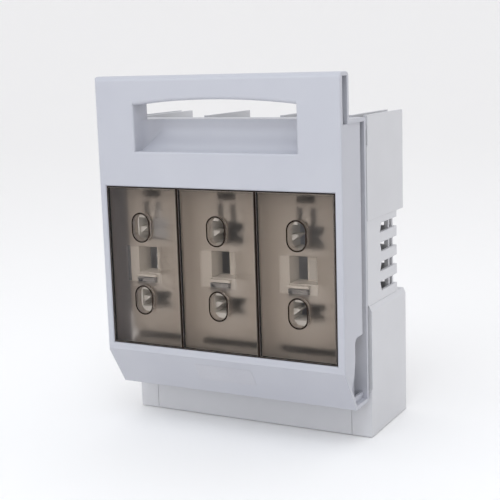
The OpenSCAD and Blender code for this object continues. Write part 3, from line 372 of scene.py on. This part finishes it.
# Hexagon bolts M10 on the terminals, 16 mm across the flats
fasteners("hexagon_terminal_bolts", "terminal_bolts",
          [(x, WASHER_FRONT, FUSE_MID + end * BOLT_RISE) for x in POLES for end in (-1, 1)],
          {"Head Sides": 6, "Head Radius": 8.0 / math.cos(math.pi / 6) * MM, "Head Height": 6.4 * MM,
           "Chamfer Radius": 7.6 * MM, "Shank Radius": 5.0 * MM, "Shank Length": 19.0 * MM,
           "Thread Pitch": 1.5 * MM, "Cross Recess": False, "Turn": HEAD_TO_FRONT, "Finish": zinc_plate})


def on_cover(mesh):
    """Makes a mesh a piece of the same name that rides on the cover."""
    piece = bpy.data.objects.new(mesh.name, mesh)
    bpy.context.scene.collection.objects.link(piece)
    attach(piece, "cover")


def bare_label(name, made, foot, lean, low, high, corner, thick=0.15, bedded=0.05):
    """A thin bare label on a face of the cover that leans in towards its foot. Its low and high corners
    are given across and up the face, its corners are round, and its upper edge is bevelled."""
    along = Vector((0, -math.sin(lean), math.cos(lean)))
    out = Vector((0, -math.cos(lean), -math.sin(lean)))
    centre = ((low[0] + high[0]) / 2, (low[1] + high[1]) / 2)
    outline = []
    for cx, cz, first in ((high[0] - corner, high[1] - corner, 0), (low[0] + corner, high[1] - corner, 90),
                          (low[0] + corner, low[1] + corner, 180), (high[0] - corner, low[1] + corner, 270)):
        for step in range(7):
            turn = math.radians(first + 15 * step)
            outline.append((cx + corner * math.cos(turn), cz + corner * math.sin(turn)))
    count = len(outline)
    plate = bmesh.new()
    verts = []
    for level, inset in ((-bedded, 0.0), (thick * 0.5, 0.0), (thick, thick * 0.5)):
        for u, v in outline:
            u -= math.copysign(inset, u - centre[0])
            v -= math.copysign(inset, v - centre[1])
            verts.append(plate.verts.new((Vector((u, 0, 0)) + foot + along * v + out * level) * MM))
    for ring in (0, 1):
        for k in range(count):
            here, beside = ring * count + k, ring * count + (k + 1) % count
            plate.faces.new([verts[q] for q in (here, beside, beside + count, here + count)])
    plate.faces.new(verts[count - 1::-1])
    plate.faces.new(verts[2 * count:])
    bmesh.ops.recalc_face_normals(plate, faces=plate.faces)
    mesh = bpy.data.meshes.new(name)
    plate.to_mesh(mesh)
    plate.free()
    mesh.materials.append(made)
    on_cover(mesh)


# The rating label in the middle of the skirt
bare_label("rating_label", label_foil, Vector((0, FRONT + SKIRT_BACK, SKIRT_LOW)),
           math.atan2(SKIRT_RUN, SKIRT_FALL), (-26.5, 14.5), (24.5, 32.0), 1.5)
# A small label on the floor of the right pole's middle recess
bare_label("fuse_data_label", label_paper, Vector((0, FRONT + RECESS_BACK, 0)), 0.0,
           (63.2, 126.0), (69.8, 141.5), 0.5)


def pocket_baffle(name, low, high, radius=0.3):
    """A thin web beside the carrier plate, so that no daylight from a hinge pocket reaches the windows."""
    web = bmesh.new()
    bmesh.ops.create_cube(web, size=1.0)
    for vert in web.verts:
        vert.co = [(low[k], high[k])[vert.co[k] > 0] * MM for k in range(3)]
    bmesh.ops.bevel(web, geom=web.edges[:], offset=radius * MM, segments=2, affect="EDGES")
    mesh = bpy.data.meshes.new(name)
    web.to_mesh(mesh)
    web.free()
    mesh.materials.append(cover_plastic)
    on_cover(mesh)


BAFFLE_FRONT, BAFFLE_BACK = FRONT + 20.4, FRONT + 21.6
BAFFLE_INNER, BAFFLE_OUTER, BAFFLE_LOW, BAFFLE_TOP = 94.0, 103.1, 41.0, 93.0
pocket_baffle("left_pocket_baffle", (-BAFFLE_OUTER, BAFFLE_FRONT, BAFFLE_LOW),
              (-BAFFLE_INNER, BAFFLE_BACK, BAFFLE_TOP))
pocket_baffle("right_pocket_baffle", (BAFFLE_INNER, BAFFLE_FRONT, BAFFLE_LOW),
              (BAFFLE_OUTER, BAFFLE_BACK, BAFFLE_TOP))


def cyclorama():
    """A pale floor that curves up far behind and beside the object, as one seamless bowl, in metres."""
    rings, sides, flat, rise, under = 14, 64, 3.0, 5.0, 0.0005
    points = [(0.0, 0.0, -under)]
    for ring in range(rings + 1):
        turn = math.pi / 2 * ring / rings
        reach, height = flat + rise * math.sin(turn), rise * (1 - math.cos(turn)) - under
        for side in range(sides):
            angle = 2 * math.pi * side / sides
            points.append((reach * math.cos(angle), reach * math.sin(angle), height))
    faces = [(0, 1 + side, 1 + (side + 1) % sides) for side in range(sides)]
    for ring in range(rings):
        for side in range(sides):
            here, there = 1 + ring * sides, 1 + (ring + 1) * sides
            beside = (side + 1) % sides
            faces.append((here + side, there + side, there + beside, here + beside))
    mesh = bpy.data.meshes.new("cyclorama")
    mesh.from_pydata(points, [], faces)
    for face in mesh.polygons:
        face.use_smooth = True
    return bpy.data.objects.new("cyclorama", mesh)


def studio():
    """Pale floor in a bright room, a large cool light low on the left and another high on the right."""
    floor, tree, _, end = blank("pale_studio_floor")
    body = add(tree, "ShaderNodeBsdfPrincipled", inputs={"Base Color": linear("F9F8F7"), "Roughness": 0.9})
    tree.links.new(body.outputs["BSDF"], end.inputs["Surface"])
    ground = cyclorama()
    ground.data.materials.append(floor)
    bpy.context.scene.collection.objects.link(ground)
    world = bpy.data.worlds.new("soft_room")
    world.use_nodes = True
    world.node_tree.nodes["Background"].inputs["Color"].default_value = linear("F6F7FA")
    world.node_tree.nodes["Background"].inputs["Strength"].default_value = 1.0
    bpy.context.scene.world = world
    for name, size, power, spot, target in (
        ("key_softbox", 1.0, 4.0, (-0.8, -1.5, 0.85), (0, 0, 0.15)),
        ("top_softbox", 0.8, 5.6, (0.3, -0.85, 1.35), (0, 0, 0.2)),
    ):
        data = bpy.data.lights.new(name, "AREA")
        data.size, data.energy, data.color = size, power, (0.86, 0.93, 1.0)
        lamp = bpy.data.objects.new(name, data)
        lamp.location = spot
        lamp.rotation_euler = (Vector(target) - Vector(spot)).to_track_quat("-Z", "Y").to_euler()
        bpy.context.scene.collection.objects.link(lamp)


def photo_camera():
    """The photograph's viewpoint: 28 degrees to the right, 10 above, with a slight roll."""
    turn, rise, roll = math.radians(28.082), math.radians(10.176), math.radians(-1.806)
    aim, distance = Vector((0.00126, -0.0100, 0.14196)), 0.87906
    back = Vector((math.sin(turn) * math.cos(rise), -math.cos(turn) * math.cos(rise), math.sin(rise)))
    right = Vector((math.cos(turn), math.sin(turn), 0))
    up = back.cross(right)
    right, up = right * math.cos(roll) + up * math.sin(roll), up * math.cos(roll) - right * math.sin(roll)
    data = bpy.data.cameras.new("photo_camera")
    data.sensor_width, data.lens = 36.0, 78.5
    cam = bpy.data.objects.new("photo_camera", data)
    cam.matrix_world = (Matrix.Translation(aim + back * distance)
                        @ Matrix((right, up, back)).transposed().to_4x4())
    bpy.context.scene.collection.objects.link(cam)
    bpy.context.scene.camera = cam


studio()
photo_camera()
bpy.context.scene.view_settings.view_transform = "Standard"
